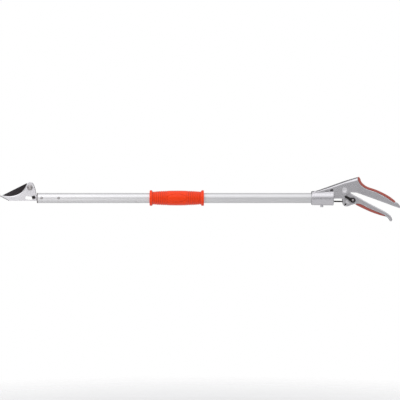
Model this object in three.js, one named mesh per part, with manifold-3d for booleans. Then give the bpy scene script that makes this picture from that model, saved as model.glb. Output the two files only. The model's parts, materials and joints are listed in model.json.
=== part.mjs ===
// Long-reach bypass pruner: a cutting head on a one-metre aluminium pole, worked by a squeeze handle.
// Millimetres, +Z up. The pole runs along X with the cutting head at -X, and the blade moves in the XZ plane.

import * as THREE from 'three';
import { mergeVertices } from 'three/addons/utils/BufferGeometryUtils.js';
import Module from 'manifold-3d';

const wasm = await Module();
wasm.setup();

// Driving dimensions. Places are measured from the pole's axis, at the middle of the tool's length.
const TUBE_R = 12.5;
const TUBE_WALL = 1.2;
const TUBE_X = [-405, 329];
const COLLAR_X = [278.3, 333.5];
const COLLAR_R = [17.5, 18.4];
const GRIP_X = [-125.8, 9.8];
const GRIP_FLANGE_R = 19.5;
const GRIP_FLANGE_T = 6.8;

const HANDLE_PIVOT = [360, 20];
const HANDLE_HALF = 12.5;
const HANDLE_TIP_HALF = 9.5;
const FORK_HALF = 9.3;
const LEVER_HALF = 8.8;
const LEVER_SLOT_HALF = 4.3;

const BLADE_PIVOT = [-425, 26.4];
const LINK = [-416, 2.6];
const PLATE_Y = [-3.3, -0.3];
const BLADE_Y = [0, 2.5];

const ROD_R = 1.8;
const ROD_FRONT = new THREE.Vector3(LINK[0], 5.4, LINK[1] - 0.85);
const ROD_REAR = new THREE.Vector3(367.5, 0, -8.8);
const ROD_TAIL = 12;
const TRUNNION = [367.5, -8.2];
const TRUNNION_R = 5;

const CATCH_PIVOT = [381, -5.4];
const CATCH_Y = [-15, -13];

const RIVET_X = { front: -394.8, rear: -352.5 };
const CLAMP_SCREW_X = 304.4;

const RUNNING_GAP = 0.3;
const FIT_GAP = 0.1;

// The whole tool is raised so that its bounding box is centred on the origin.
const BOX_CENTRE = [0.5, -2.6];

const FINISH = {
  tube: { color: 0xd9d9dc, roughness: 0.3, metalness: 0.9 },
  casting: { color: 0xa9a7ac, roughness: 0.5, metalness: 0.7 },
  plate: { color: 0xd8d8dc, roughness: 0.35, metalness: 0.9 },
  blackened: { color: 0x2a2526, roughness: 0.45, metalness: 0.6 },
  steel: { color: 0x8f8b8c, roughness: 0.35, metalness: 0.9 },
  grip: { color: 0xe6421c, roughness: 0.55, metalness: 0 },
  insert: { color: 0xc04a35, roughness: 0.6, metalness: 0 },
  ring: { color: 0x86807c, roughness: 0.5, metalness: 0 },
  nylon: { color: 0xdcd8cc, roughness: 0.6, metalness: 0 },
};

// ---- Small tools -------------------------------------------------------------------------------

function welded(geometry) {
  const bare = geometry.clone();
  bare.deleteAttribute('normal');
  bare.deleteAttribute('uv');
  const merged = mergeVertices(bare, 1e-4);
  const index = merged.index.array;
  const kept = [];
  for (let i = 0; i < index.length; i += 3) {
    const [a, b, c] = [index[i], index[i + 1], index[i + 2]];
    if (a !== b && b !== c && c !== a) kept.push(a, b, c);
  }
  merged.setIndex(kept);
  return merged;
}

function solid(geometry) {
  const mesh = welded(geometry);
  return new wasm.Manifold(new wasm.Mesh({
    numProp: 3,
    vertProperties: new Float32Array(mesh.attributes.position.array),
    triVerts: new Uint32Array(mesh.index.array),
  }));
}

function shaped(body) {
  const mesh = body.getMesh();
  const geometry = new THREE.BufferGeometry();
  geometry.setAttribute('position', new THREE.BufferAttribute(mesh.vertProperties, 3));
  geometry.setIndex(new THREE.BufferAttribute(mesh.triVerts, 1));
  return geometry;
}

function cut(base, ...cutters) {
  return cutters.reduce((body, cutter) => body.subtract(cutter), base);
}

const vectors = (points) => points.map(([x, z]) => new THREE.Vector2(x, z));

// A smooth curve through a few points, as [x, z] pairs.
function bend(points, steps) {
  return new THREE.SplineCurve(vectors(points)).getPoints(steps).map((p) => [p.x, p.y]);
}

// Angles are in degrees from +X towards +Z.
function polar([x, z], radius, degrees) {
  const angle = THREE.MathUtils.degToRad(degrees);
  return [x + radius * Math.cos(angle), z + radius * Math.sin(angle)];
}

// Part of a circle from one angle to another.
function arc(centre, radius, from, to, steps) {
  const points = [];
  for (let i = 0; i <= steps; i += 1) {
    points.push(polar(centre, radius, from + ((to - from) * i) / steps));
  }
  return points;
}

const circle = (centre, radius, steps) => arc(centre, radius, 0, 360, steps).slice(0, steps);

// An outline in the XZ plane, given thickness from one Y to another.
function slab(outline, [near, far], holes = [], bevel = 0) {
  const shape = new THREE.Shape(vectors(outline));
  shape.holes = holes.map((hole) => new THREE.Path(vectors(hole)));
  const geometry = new THREE.ExtrudeGeometry(shape, {
    depth: far - near - 2 * bevel,
    bevelEnabled: bevel > 0,
    bevelThickness: bevel,
    bevelSize: bevel,
    bevelOffset: -bevel,
    bevelSegments: 1,
  });
  geometry.rotateX(Math.PI / 2);
  geometry.translate(0, far - bevel, 0);
  return geometry;
}

// A turned piece on the Y axis through [x, z]: profile points are [radius, y].
function turnedOnY(profile, [x, z], steps = 24) {
  const geometry = new THREE.LatheGeometry(vectors(profile), steps);
  geometry.translate(x, 0, z);
  return geometry;
}

// A turned piece on the X axis: profile points are [radius, x].
function turnedOnX(profile, steps = 24, [y, z] = [0, 0]) {
  const geometry = new THREE.LatheGeometry(vectors(profile), steps);
  geometry.rotateZ(-Math.PI / 2);
  geometry.translate(0, y, z);
  return geometry;
}

const rod = (radius, [from, to]) => [[0, from], [radius, from], [radius, to], [0, to]];
const ring = (inner, outer, [from, to]) => [
  [inner, from], [outer, from], [outer, to], [inner, to], [inner, from],
];

// ---- Cutting head ------------------------------------------------------------------------------

const HOOK_EDGE = [[-490, 5.5], [-478, 4.4], [-465, 5.9], [-450.4, 11.4], [-440.5, 20.8], [-431.8, 36.6]];
const HOOK_CROWN = [[-431.8, 36.6], [-425.4, 40.1], [-417, 36.2], [-411.6, 23], [-409, 9.6]];
const WINDOW_R = [22.6, 30.8];
const WINDOW_ANGLE = [-115.5, -60.3];
const WINDOW_CORNER = 2.6;

function hookPlate() {
  const outline = [
    [-501.5, 5.4], [-501.5, 7.9], ...bend(HOOK_EDGE, 20), ...bend(HOOK_CROWN, 16).slice(1),
    [-408.8, 8.4], [-376, 8.2], [-376, -6.9], [-477.5, -6.9], [-484.5, -3.4], [-495, 1.9],
  ];
  const [inner, outer] = WINDOW_R;
  const [left, right] = WINDOW_ANGLE;
  const window = [
    ...arc(BLADE_PIVOT, outer, left + WINDOW_CORNER, right - WINDOW_CORNER, 10),
    polar(BLADE_PIVOT, outer - 2, right),
    polar(BLADE_PIVOT, inner + 2, right),
    ...arc(BLADE_PIVOT, inner, right - WINDOW_CORNER, left + WINDOW_CORNER, 8),
    polar(BLADE_PIVOT, inner + 2, left),
    polar(BLADE_PIVOT, outer - 2, left),
  ];
  return slab(outline, PLATE_Y, [circle(BLADE_PIVOT, 4.3, 24), window]);
}

function cuttingBlade() {
  const hub = 11.3;
  const tail = 4.1;
  const edge = [[-435.6, 22.4], [-441, 16], [-450, 8.3], [-462, 3.2], [-476, 2.4], [-493.9, 6.9]];
  const outline = [
    [-493.9, 6.9], [-434.6, 36.5],
    ...arc(BLADE_PIVOT, hub, 112, -40, 12),
    ...arc(LINK, tail, 20.7, -159.3, 10),
    ...arc(BLADE_PIVOT, hub, -107, -150, 3),
    ...bend(edge, 20).slice(0, -1),
  ];
  return slab(outline, BLADE_Y, [circle(BLADE_PIVOT, 4.3, 24), circle(LINK, 2.1, 16)]);
}

function bladePivotBolt() {
  const profile = [
    [0, -7.2], [5.6, -7.2], [6.7, -6.2], [6.7, PLATE_Y[0]], [4, PLATE_Y[0]], [4, 9.4], [0, 9.4],
  ];
  return turnedOnY(profile, BLADE_PIVOT, 24);
}

function bladePivotWasher() {
  return turnedOnY(ring(4.2, 8, [2.7, 3.6]), BLADE_PIVOT, 24);
}

function hexNut([x, z], size, bore, [near, far]) {
  const outline = circle([x, z], size / Math.sqrt(3), 6);
  return slab(outline, [near, far], [circle([x, z], bore, 16)]);
}

function linkPin() {
  const profile = [[0, -3.1], [2.6, -3.1], [2.6, -FIT_GAP], [2, -FIT_GAP], [2, 9], [0, 9]];
  return turnedOnY(profile, LINK, 20);
}

function linkClip() {
  return turnedOnY(ring(2.1, 3.4, [7.5, 8.3]), LINK, 20);
}

function headPlug() {
  const plug = solid(turnedOnX(rod(TUBE_R - TUBE_WALL - 0.2, [-404.3, -342]), 32));
  const slot = new THREE.BoxGeometry(34, PLATE_Y[1] - PLATE_Y[0] + 0.4, 30);
  slot.translate(-375.5 - 17, (PLATE_Y[0] + PLATE_Y[1]) / 2, 0);
  const passage = turnedOnX(rod(3.6, [-410, -338]), 20, [5.1, 1.4]);
  const rivetHoles = rivetPlaces().map(({ x, side }) => rivetCylinder(x, side, 2.2, 9));
  return shaped(cut(plug, solid(slot), solid(passage), ...rivetHoles));
}

function mouthRing() {
  return turnedOnX(ring(11.2, 12.7, [-407.1, -405.3]), 40);
}

// Blind rivets on both sides hold the plug in the tube.
function rivetPlaces() {
  const places = [];
  for (const [side, sideName] of [[-1, 'near'], [1, 'far']]) {
    for (const [end, x] of Object.entries(RIVET_X)) {
      places.push({ x, side, name: `head_rivet_${end}_${sideName}` });
    }
  }
  return places;
}

function rivetCylinder(x, side, radius, innerEnd) {
  const outerEnd = 16;
  const span = side < 0 ? [-outerEnd, -innerEnd] : [innerEnd, outerEnd];
  return solid(turnedOnY(rod(radius, span), [x, 0], 16));
}

function rivet(x, side) {
  const head = side < 0 ? [-13.6, -11] : [11, 13.6];
  const shank = side < 0 ? [-12.8, -9.2] : [9.2, 12.8];
  const dimple = side < 0 ? [-14, -12.9] : [12.9, 14];
  const tubeSurface = solid(turnedOnX(rod(TUBE_R + 0.15, [x - 8, x + 8]), 40));
  const cap = solid(turnedOnY(rod(3.4, head), [x, 0], 20)).subtract(tubeSurface);
  const stem = solid(turnedOnY(rod(1.9, shank), [x, 0], 16));
  return shaped(cap.add(stem).subtract(solid(turnedOnY(rod(1.2, dimple), [x, 0], 12))));
}

// ---- Pole --------------------------------------------------------------------------------------

function poleTube() {
  const tube = solid(turnedOnX(ring(TUBE_R - TUBE_WALL, TUBE_R, TUBE_X), 40));
  const holes = rivetPlaces().map(({ x, side }) => rivetCylinder(x, side, 2.2, 9));
  return shaped(cut(tube, ...holes));
}

function foregrip() {
  const [start, end] = GRIP_X;
  const bore = TUBE_R + 0.25;
  const flange = GRIP_FLANGE_R;
  const round = 1.6;
  const waist = bend([[16, start + 6.8], [17.6, -98], [18.5, -58], [17.6, -18], [16, end - 6.8]], 12);
  const profile = [
    [bore, start], [flange - round, start], [flange, start + round],
    [flange, start + GRIP_FLANGE_T - round], [flange - round, start + GRIP_FLANGE_T],
    ...waist,
    [flange - round, end - GRIP_FLANGE_T], [flange, end - GRIP_FLANGE_T + round],
    [flange, end - round], [flange - round, end], [bore, end], [bore, start],
  ];
  return turnedOnX(profile, 36);
}

function rodGuide(from, thickness) {
  const middle = rodPoint(from + thickness / 2);
  const disc = solid(turnedOnX(rod(TUBE_R - TUBE_WALL - 0.2, [from, from + thickness]), 32));
  const hole = solid(turnedOnX(rod(ROD_R + 0.6, [from - 1, from + thickness + 1]), 16, [middle.y, middle.z]));
  return shaped(disc.subtract(hole));
}

// ---- Pull rod ----------------------------------------------------------------------------------

const ROD_LINE = new THREE.Vector3().subVectors(ROD_REAR, ROD_FRONT);
const ROD_LENGTH = ROD_LINE.length();

// The point on the rod's axis at a given X.
function rodPoint(x) {
  const along = (x - ROD_FRONT.x) / ROD_LINE.x;
  return new THREE.Vector3().lerpVectors(ROD_FRONT, ROD_REAR, along);
}

// The rod's pieces are modelled along +X from its front eye, then laid on the rod's true line.
function alongRod(geometry) {
  const turn = new THREE.Quaternion().setFromUnitVectors(
    new THREE.Vector3(1, 0, 0), ROD_LINE.clone().normalize(),
  );
  geometry.applyQuaternion(turn);
  geometry.translate(ROD_FRONT.x, ROD_FRONT.y, ROD_FRONT.z);
  return geometry;
}

function pullRod() {
  return alongRod(turnedOnX(rod(ROD_R, [8, ROD_LENGTH + ROD_TAIL]), 14));
}

function rodEye() {
  const slotHalf = 1.2;
  const outline = [...arc([0, slotHalf], 4.6, 0, 180, 10), ...arc([0, -slotHalf], 4.6, 180, 360, 10)];
  const slot = [...arc([0, slotHalf], 2.35, 0, 180, 8), ...arc([0, -slotHalf], 2.35, 180, 360, 8)];
  const plate = solid(slab(outline, [-1.8, 1.8], [slot]));
  const sleeve = solid(turnedOnX(rod(2.6, [4, 16.5]), 16));
  const bore = solid(turnedOnX(rod(ROD_R + 0.2, [7.6, 18]), 14));
  return alongRod(shaped(plate.add(sleeve).subtract(bore)));
}

function rodStop() {
  const from = 268 - ROD_FRONT.x;
  return alongRod(turnedOnX(ring(ROD_R + 0.2, 3.4, [from, from + 3]), 14));
}

function rodNut(fromTrunnion) {
  const middle = ROD_LENGTH + fromTrunnion;
  const shape = new THREE.Shape(vectors(circle([0, 0], 3.6, 6)));
  shape.holes = [new THREE.Path(vectors(circle([0, 0], ROD_R + 0.2, 14)))];
  const geometry = new THREE.ExtrudeGeometry(shape, { depth: 3, bevelEnabled: false });
  geometry.rotateY(Math.PI / 2);
  geometry.translate(middle - 1.5, 0, 0);
  return alongRod(geometry);
}

class Helix extends THREE.Curve {
  constructor(radius, length, turns) {
    super();
    Object.assign(this, { radius, length, turns });
  }

  getPoint(t, target = new THREE.Vector3()) {
    const angle = 2 * Math.PI * this.turns * t;
    return target.set(this.length * t, this.radius * Math.cos(angle), this.radius * Math.sin(angle));
  }
}

function returnSpring() {
  const turns = 9;
  const wire = new THREE.Shape(vectors(circle([0, 0], 0.45, 6)));
  const geometry = new THREE.ExtrudeGeometry(wire, {
    steps: turns * 10,
    extrudePath: new Helix(2.85, 44, turns),
    bevelEnabled: false,
  });
  geometry.translate(272.5 - ROD_FRONT.x, 0, 0);
  return alongRod(geometry);
}

// ---- Squeeze handle ----------------------------------------------------------------------------

const HANDLE_BACK = [
  [396.5, 52.9], [399.5, 48.5], [404, 38.9], [416.5, 28.9], [438, 21.4], [455, 13.9], [473, 3.9],
  [489, -8.4],
];
const HANDLE_SEAM = [
  [393.4, 48], [397.2, 38.1], [403.7, 30], [415.4, 22.7], [440.5, 13.9], [463, 2.3], [484.8, -12.2],
];
const HANDLE_POINT = [[488.4, -9.2], [494, -12.6], [499, -18.5], [502.5, -24]];
const CASTING_TOP = [[283, 16.6], [290, 18.1], [300, 21.1], [325, 30.2], [360, 42.6], [393.6, 52.4]];
const CASTING_LIP = [[356.2, -1.6], [361, 0.9], [366, 6], [373.8, 13.1], [379, 14.3], [392.5, 13.4]];

function castingOutline() {
  return [
    ...CASTING_TOP,
    ...bend(HANDLE_SEAM, 24),
    ...bend(HANDLE_POINT, 8),
    [499, -25.1], [495, -23.9], [401, 10.6],
    ...bend(CASTING_LIP, 14).reverse(),
    [326, -1.6], [300, 5],
  ];
}

// The casting narrows towards the tip of the grip arm, seen from above.
function narrowed(body, half, tipHalf) {
  const outline = new THREE.Shape(vectors([
    [270, -20], [278, -20], [278, -half], [392, -half], [425, -tipHalf], [505, -tipHalf + 1.5],
    [505, tipHalf - 1.5], [425, tipHalf], [392, half], [278, half], [278, 20], [270, 20],
  ]));
  const column = new THREE.ExtrudeGeometry(outline, { depth: 140, bevelEnabled: false });
  column.translate(0, 0, -70);
  return body.intersect(solid(column));
}

function handleBody() {
  const half = HANDLE_HALF;
  const web = narrowed(solid(slab(castingOutline(), [-half, half], [], 1.5)), half, HANDLE_TIP_HALF);
  const [front, back] = COLLAR_X;
  const collar = solid(turnedOnX([
    [0, front], [COLLAR_R[0] - 1.4, front], [COLLAR_R[0], front + 1.4],
    [COLLAR_R[1], back - 0.8], [COLLAR_R[1] - 0.8, back], [0, back],
  ], 40));
  const bore = solid(turnedOnX(rod(TUBE_R + 0.2, [front - 2, TUBE_X[1] + 0.4]), 40));
  const passage = solid(turnedOnX(rod(3.4, [325, 352]), 20, [0, -8.3]));
  const forkRoom = solid(slab(forkSlot(), [-FORK_HALF, FORK_HALF]));
  const trough = solid(slab(gripTrough(), [-5.5, 5.5]));
  const pinHole = solid(turnedOnY(rod(4.2, [-20, 20]), HANDLE_PIVOT, 24));
  const nearSeat = solid(turnedOnY(rod(6.5, [-20, 1.7 - half]), HANDLE_PIVOT, 24));
  const farSeat = solid(turnedOnY(rod(6.5, [half - 1.7, 20]), HANDLE_PIVOT, 24));
  const screwHole = solid(clampCylinder(2.8, [-25, -11]));
  const pockets = sidePockets().map((pocket) => solid(slab(pocket, [-20, 1 - half])));
  const whole = web.add(collar);
  const cutters = [bore, passage, forkRoom, trough, pinHole, nearSeat, farSeat, screwHole];
  return shaped(cut(whole, ...cutters, ...pockets));
}

// Room for the lever's arm to swing between the two cheeks.
function forkSlot() {
  return [
    [338.5, -30], [338.5, 3], [347, 18], ...arc(HANDLE_PIVOT, 12, 160, 20, 8), [382.5, 16], [382.5, -30],
  ];
}

// The grip arm is cast hollow, open underneath.
function gripTrough() {
  return [
    [398, -10], [398, 26], [409, 22.5], [422, 16], [440, 9.5], [462, -2], [478, -12], [478, -40],
  ];
}

// Two shallow plain pockets in the near cheek, above the collar.
function sidePockets() {
  return [
    [[324, 15.2], [324, 20], [326.5, 22.6], [332.5, 23.4], [332.5, 15.2]],
    [[311, 15.2], [311, 18.4], [322, 18.4], [322, 15.2]],
  ];
}

function clampCylinder(radius, [from, to]) {
  const geometry = new THREE.CylinderGeometry(radius, radius, to - from, 20);
  geometry.rotateX(Math.PI / 2);
  geometry.translate(CLAMP_SCREW_X, 0, (from + to) / 2);
  return geometry;
}

function clampScrew() {
  const head = solid(clampCylinder(3.75, [-22.9, -18.3]));
  const shank = solid(clampCylinder(2.5, [-19, -12.8]));
  const socket = solid(clampCylinder(1.6, [-24, -20.9]));
  return shaped(head.add(shank).subtract(socket));
}

function handleInsert() {
  const seam = bend(HANDLE_SEAM, 24).map(([x, z]) => [x + 0.12, z + 0.16]);
  const outline = [...bend(HANDLE_BACK, 24), ...seam.reverse(), [394.2, 52.6]];
  const body = solid(slab(outline, [-HANDLE_HALF, HANDLE_HALF]));
  return shaped(narrowed(body, HANDLE_HALF - 0.6, HANDLE_TIP_HALF - 0.4));
}

function handlePivotPin() {
  const face = -HANDLE_HALF + 0.1;
  const profile = [
    [0, face], [6.2, face], [6.2, face + 1.5], [3.9, face + 1.5], [3.9, 6], [0, 6],
  ];
  return turnedOnY(profile, HANDLE_PIVOT, 24);
}

function handlePivotScrew() {
  const face = HANDLE_HALF - 0.1;
  const profile = [
    [0, 6.2], [3.9, 6.2], [3.9, face - 1.5], [6.2, face - 1.5], [6.2, face], [1.8, face],
    [1.8, face - 1.2], [0, face - 1.2],
  ];
  return turnedOnY(profile, HANDLE_PIVOT, 24);
}

// ---- Lever -------------------------------------------------------------------------------------

const LEVER_TOP = [
  [377.5, 11], [393.3, 2.6], [420.5, -12.4], [449.3, -27.4], [466, -36.6], [476, -45], [479.6, -53],
  [478.5, -58],
];
const LEVER_SEAM = [[390, -14.6], [400, -15.2], [415, -23], [432.5, -30.9], [450, -38.1], [461.5, -43.8]];
const LEVER_UNDER = [
  [388.5, -16], [400.5, -22.4], [421.8, -32.4], [434.5, -37.4], [449.3, -42.4], [461.4, -45.6],
];
const LEVER_TAIL = [[475.5, -58], [472, -51.8], [467, -47.6], [461.6, -45.7]];
const NOSE = [366.3, -11.1];
const NOSE_R = 10;

function leverOutline() {
  return [
    ...arc(HANDLE_PIVOT, 9.6, 175, 0, 10),
    ...bend(LEVER_TOP, 26),
    ...bend(LEVER_TAIL, 8),
    ...bend(LEVER_SEAM, 18).reverse(),
    [384, -15.6],
    ...arc(NOSE, NOSE_R, -60, -185, 10),
  ];
}

function leverBody() {
  const body = solid(slab(leverOutline(), [-LEVER_HALF, LEVER_HALF], [], 1.2));
  const pinHole = solid(turnedOnY(rod(4.3, [-20, 20]), HANDLE_PIVOT, 24));
  const trunnionHole = solid(turnedOnY(rod(TRUNNION_R + RUNNING_GAP, [-20, 20]), TRUNNION, 24));
  const slot = solid(slab(noseSlot(), [-LEVER_SLOT_HALF, LEVER_SLOT_HALF]));
  const eye = solid(slab(noseWindow(), [-20, 0]));
  const boss = solid(turnedOnY(rod(4.6, [-12.7, -6]), CATCH_PIVOT, 20));
  const screwHole = solid(turnedOnY(rod(2.2, [-20, -4.5]), CATCH_PIVOT, 16));
  return shaped(cut(body.add(boss), pinHole, trunnionHole, slot, eye, screwHole));
}

// The rod stays level while the lever turns, so the slot fans out on both sides of the trunnion.
function noseSlot() {
  return [[350, -1.6], [366, -1], [374, 4], [382, 6.5], [382, -13.6], [368, -14.2], [362, -24], [350, -24]];
}

// A slanted slot through the near cheek of the nose.
function noseWindow() {
  return [[360, -16.1], [362.8, -18.6], [366.6, -15.3], [363.6, -12.9]];
}

function leverInsert() {
  const seam = bend(LEVER_SEAM, 18).map(([x, z]) => [x - 0.1, z - 0.16]);
  const outline = [...seam, ...bend(LEVER_UNDER, 18).reverse()];
  return slab(outline, [-LEVER_HALF + 0.3, LEVER_HALF - 0.3]);
}

function trunnion() {
  const barrel = solid(turnedOnY(rod(TRUNNION_R, [-LEVER_HALF + 0.2, LEVER_HALF - 0.2]), TRUNNION, 24));
  const hole = solid(turnedOnX(rod(ROD_R + 1, [355, 380]), 16, [0, TRUNNION[1]]));
  return shaped(barrel.subtract(hole));
}

// ---- Lock catch --------------------------------------------------------------------------------

function lockCatch() {
  const [x, z] = CATCH_PIVOT;
  const outline = [
    ...arc(CATCH_PIVOT, 6.6, -140, 100, 14),
    [x - 7, z + 6.2], [x - 13.5, z + 9.8], [x - 18.5, z + 11.2], [x - 20.8, z + 9.6],
    [x - 19.4, z + 6], [x - 12, z + 1.8],
  ];
  const plate = solid(slab(outline, CATCH_Y, [circle(CATCH_PIVOT, 2.6, 20)]));
  const tab = [
    [x - 18.3, z + 10.4], [x - 19.8, z + 9.2], [x - 18.6, z + 6.4], [x - 16.8, z + 8.6],
  ];
  return shaped(plate.add(solid(slab(tab, [CATCH_Y[0] - 2, CATCH_Y[1] - 0.5]))));
}

function catchScrew() {
  const face = CATCH_Y[0];
  const profile = [
    [0, face - 1.6], [2.4, face - 1.6], [3.1, face - 1], [3.1, face - 0.1], [2.4, face - 0.1],
    [2.4, -12.8], [2, -12.8], [2, -5], [0, -5],
  ];
  const body = solid(turnedOnY(profile, CATCH_PIVOT, 20));
  const slot = new THREE.BoxGeometry(8, 1, 0.9);
  slot.rotateY(0.6);
  slot.translate(CATCH_PIVOT[0], face - 1.6, CATCH_PIVOT[1]);
  return shaped(body.subtract(solid(slot)));
}

// ---- Assembly ----------------------------------------------------------------------------------

const tool = new THREE.Group();
tool.position.set(-BOX_CENTRE[0], 0, -BOX_CENTRE[1]);

function place(name, finish, geometry) {
  const mesh = new THREE.Mesh(geometry, new THREE.MeshStandardMaterial(FINISH[finish]));
  mesh.name = name;
  tool.add(mesh);
}

place('hook_plate', 'plate', hookPlate());
place('cutting_blade', 'blackened', cuttingBlade());
place('blade_pivot_bolt', 'steel', bladePivotBolt());
place('blade_pivot_washer', 'steel', bladePivotWasher());
place('blade_pivot_nut', 'steel', hexNut(BLADE_PIVOT, 13, 4.2, [3.7, 8.2]));
place('link_pin', 'blackened', linkPin());
place('link_clip', 'steel', linkClip());
place('head_plug', 'casting', headPlug());
place('mouth_ring', 'ring', mouthRing());
for (const { x, side, name } of rivetPlaces()) {
  place(name, 'steel', rivet(x, side));
}

place('pole_tube', 'tube', poleTube());
place('foregrip', 'grip', foregrip());
place('rod_guide_front', 'nylon', rodGuide(-200, 8));
place('rod_guide_rear', 'nylon', rodGuide(110, 8));
place('spring_seat', 'nylon', rodGuide(318, 8));

place('pull_rod', 'blackened', pullRod());
place('rod_eye', 'steel', rodEye());
place('rod_stop', 'steel', rodStop());
place('rod_nut_front', 'steel', rodNut(-7.2));
place('rod_nut_rear', 'steel', rodNut(7.2));
place('return_spring', 'steel', returnSpring());

place('handle_body', 'casting', handleBody());
place('handle_insert', 'insert', handleInsert());
place('clamp_screw', 'plate', clampScrew());
place('handle_pivot_pin', 'plate', handlePivotPin());
place('handle_pivot_screw', 'steel', handlePivotScrew());

place('lever_body', 'casting', leverBody());
place('lever_insert', 'insert', leverInsert());
place('trunnion', 'plate', trunnion());
place('lock_catch', 'blackened', lockCatch());
place('catch_screw', 'steel', catchScrew());

export default tool;
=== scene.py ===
"""Looks of a long-reach bypass pruner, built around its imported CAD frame. Metres, with the pole along X."""

import json
import math

import bmesh
import bpy
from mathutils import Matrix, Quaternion, Vector

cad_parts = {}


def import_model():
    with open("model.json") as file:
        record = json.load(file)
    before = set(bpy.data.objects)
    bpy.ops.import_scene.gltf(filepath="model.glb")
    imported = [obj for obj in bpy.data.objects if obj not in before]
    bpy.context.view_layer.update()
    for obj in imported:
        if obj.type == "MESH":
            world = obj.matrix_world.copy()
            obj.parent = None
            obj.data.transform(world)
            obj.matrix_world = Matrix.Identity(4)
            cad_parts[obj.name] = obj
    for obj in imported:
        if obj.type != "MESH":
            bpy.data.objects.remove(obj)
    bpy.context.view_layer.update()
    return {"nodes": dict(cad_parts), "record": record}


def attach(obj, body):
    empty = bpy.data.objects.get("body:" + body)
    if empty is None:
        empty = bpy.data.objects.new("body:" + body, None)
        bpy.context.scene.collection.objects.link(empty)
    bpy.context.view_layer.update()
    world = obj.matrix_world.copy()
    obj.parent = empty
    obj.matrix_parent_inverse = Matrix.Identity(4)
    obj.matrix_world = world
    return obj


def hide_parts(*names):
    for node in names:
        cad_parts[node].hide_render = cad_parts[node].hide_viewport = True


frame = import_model()

MM = 0.001
TINY = 1e-6
# Places below are in millimetres from the pole's axis, and the CAD frame is centred on the tool's box.
FROM_AXIS = Vector((-0.5, 0.0, 2.6))

NODES = frame["nodes"]
RECORD = frame["record"]
BODY_OF = {node: body for body, names in RECORD["behaviour"]["bodies"].items() for node in names}
SLOT_OF = {part["node"]: part["material_slot"] for part in RECORD["subparts"]}

TUBE_R = 12.5
TUBE_WALL = 1.2
CAST_VOXEL = 0.7
# Pivots as X and Z. They all turn about Y.
BLADE_PIVOT = (-425.0, 26.4)
LINK = (-416.0, 2.6)
HANDLE_PIVOT = (360.0, 20.0)
CATCH_PIVOT = (381.0, -5.4)
ROD_FRONT = Vector((-416.0, 5.4, 1.75))
ROD_REAR = Vector((367.5, 0.0, -8.8))


# ---- Materials ----------------------------------------------------------------------------------


class Graph:
    """A material's node tree with short ways to add and join nodes."""

    def __init__(self, name):
        self.material = bpy.data.materials.new(name)
        self.material.use_nodes = True
        self.nodes = self.material.node_tree.nodes
        self.links = self.material.node_tree.links
        self.shader = self.nodes["Principled BSDF"]
        self.place = self.add("ShaderNodeTexCoord").outputs["Object"]

    def add(self, kind, **settings):
        node = self.nodes.new(kind)
        for key, value in settings.items():
            setattr(node, key, value)
        return node

    def join(self, source, target):
        self.links.new(source, target)

    def noise(self, scale, detail=4.0, rough=0.55, stretch=(1, 1, 1)):
        mapping = self.add("ShaderNodeMapping")
        mapping.inputs["Scale"].default_value = stretch
        self.join(self.place, mapping.inputs["Vector"])
        texture = self.add("ShaderNodeTexNoise")
        texture.inputs["Scale"].default_value = scale
        texture.inputs["Detail"].default_value = detail
        texture.inputs["Roughness"].default_value = rough
        self.join(mapping.outputs["Vector"], texture.inputs["Vector"])
        return texture.outputs["Fac"]

    def ramp(self, value, low, high, out_low, out_high):
        node = self.add("ShaderNodeMapRange")
        node.inputs["From Min"].default_value = low
        node.inputs["From Max"].default_value = high
        node.inputs["To Min"].default_value = out_low
        node.inputs["To Max"].default_value = out_high
        self.join(value, node.inputs["Value"])
        return node.outputs["Result"]

    def mix(self, factor, first, second):
        node = self.add("ShaderNodeMix", data_type="RGBA")
        sockets = [node.inputs[0]] + [i for i in node.inputs if i.type == "RGBA"]
        for socket, value in zip(sockets, (factor, first, second)):
            if isinstance(value, tuple):
                socket.default_value = (*value, 1.0)
            else:
                self.join(value, socket)
        return [o for o in node.outputs if o.type == "RGBA"][0]

    def bump(self, value, distance, strength):
        node = self.add("ShaderNodeBump")
        node.inputs["Distance"].default_value = distance
        node.inputs["Strength"].default_value = strength
        self.join(value, node.inputs["Height"])
        return node.outputs["Normal"]

    def edges(self, low, high):
        """1 on sharp edges. With low above high, 1 in grooves."""
        geometry = self.add("ShaderNodeNewGeometry")
        return self.ramp(geometry.outputs["Pointiness"], low, high, 0.0, 1.0)


def finish_material(name, base, dark, light, metallic, rough, grain, cloud=14.0, stretch=(1, 1, 1),
                    bump=(0.00003, 0.5), edge_wear_and_groove_shade=None, sockets=()):
    """A surface with broad tone changes, and a fine grain in colour, roughness and relief.

    Edge wear and groove shade sets one tone: on sharp edges it is wear, and in grooves it is painted shade.
    Grain and cloud are the scales of the fine and broad noise.
    """
    graph = Graph(name)
    shader = graph.shader
    shader.inputs["Metallic"].default_value = metallic
    for socket, value in dict(sockets).items():
        shader.inputs[socket].default_value = value
    broad = graph.ramp(graph.noise(cloud, 3.0), 0.3, 0.7, 0.0, 1.0)
    fine = graph.noise(grain, 5.0, 0.6, stretch)
    tone = graph.mix(broad, dark, base)
    tone = graph.mix(graph.ramp(fine, 0.35, 0.75, 0.0, 0.6), tone, light)
    if edge_wear_and_groove_shade:
        tone = graph.mix(graph.edges(*edge_wear_and_groove_shade[0]), tone, edge_wear_and_groove_shade[1])
    graph.join(tone, shader.inputs["Base Color"])
    graph.join(graph.ramp(fine, 0.3, 0.7, rough[0], rough[1]), shader.inputs["Roughness"])
    graph.join(graph.bump(fine, *bump), shader.inputs["Normal"])
    return graph.material


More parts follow.
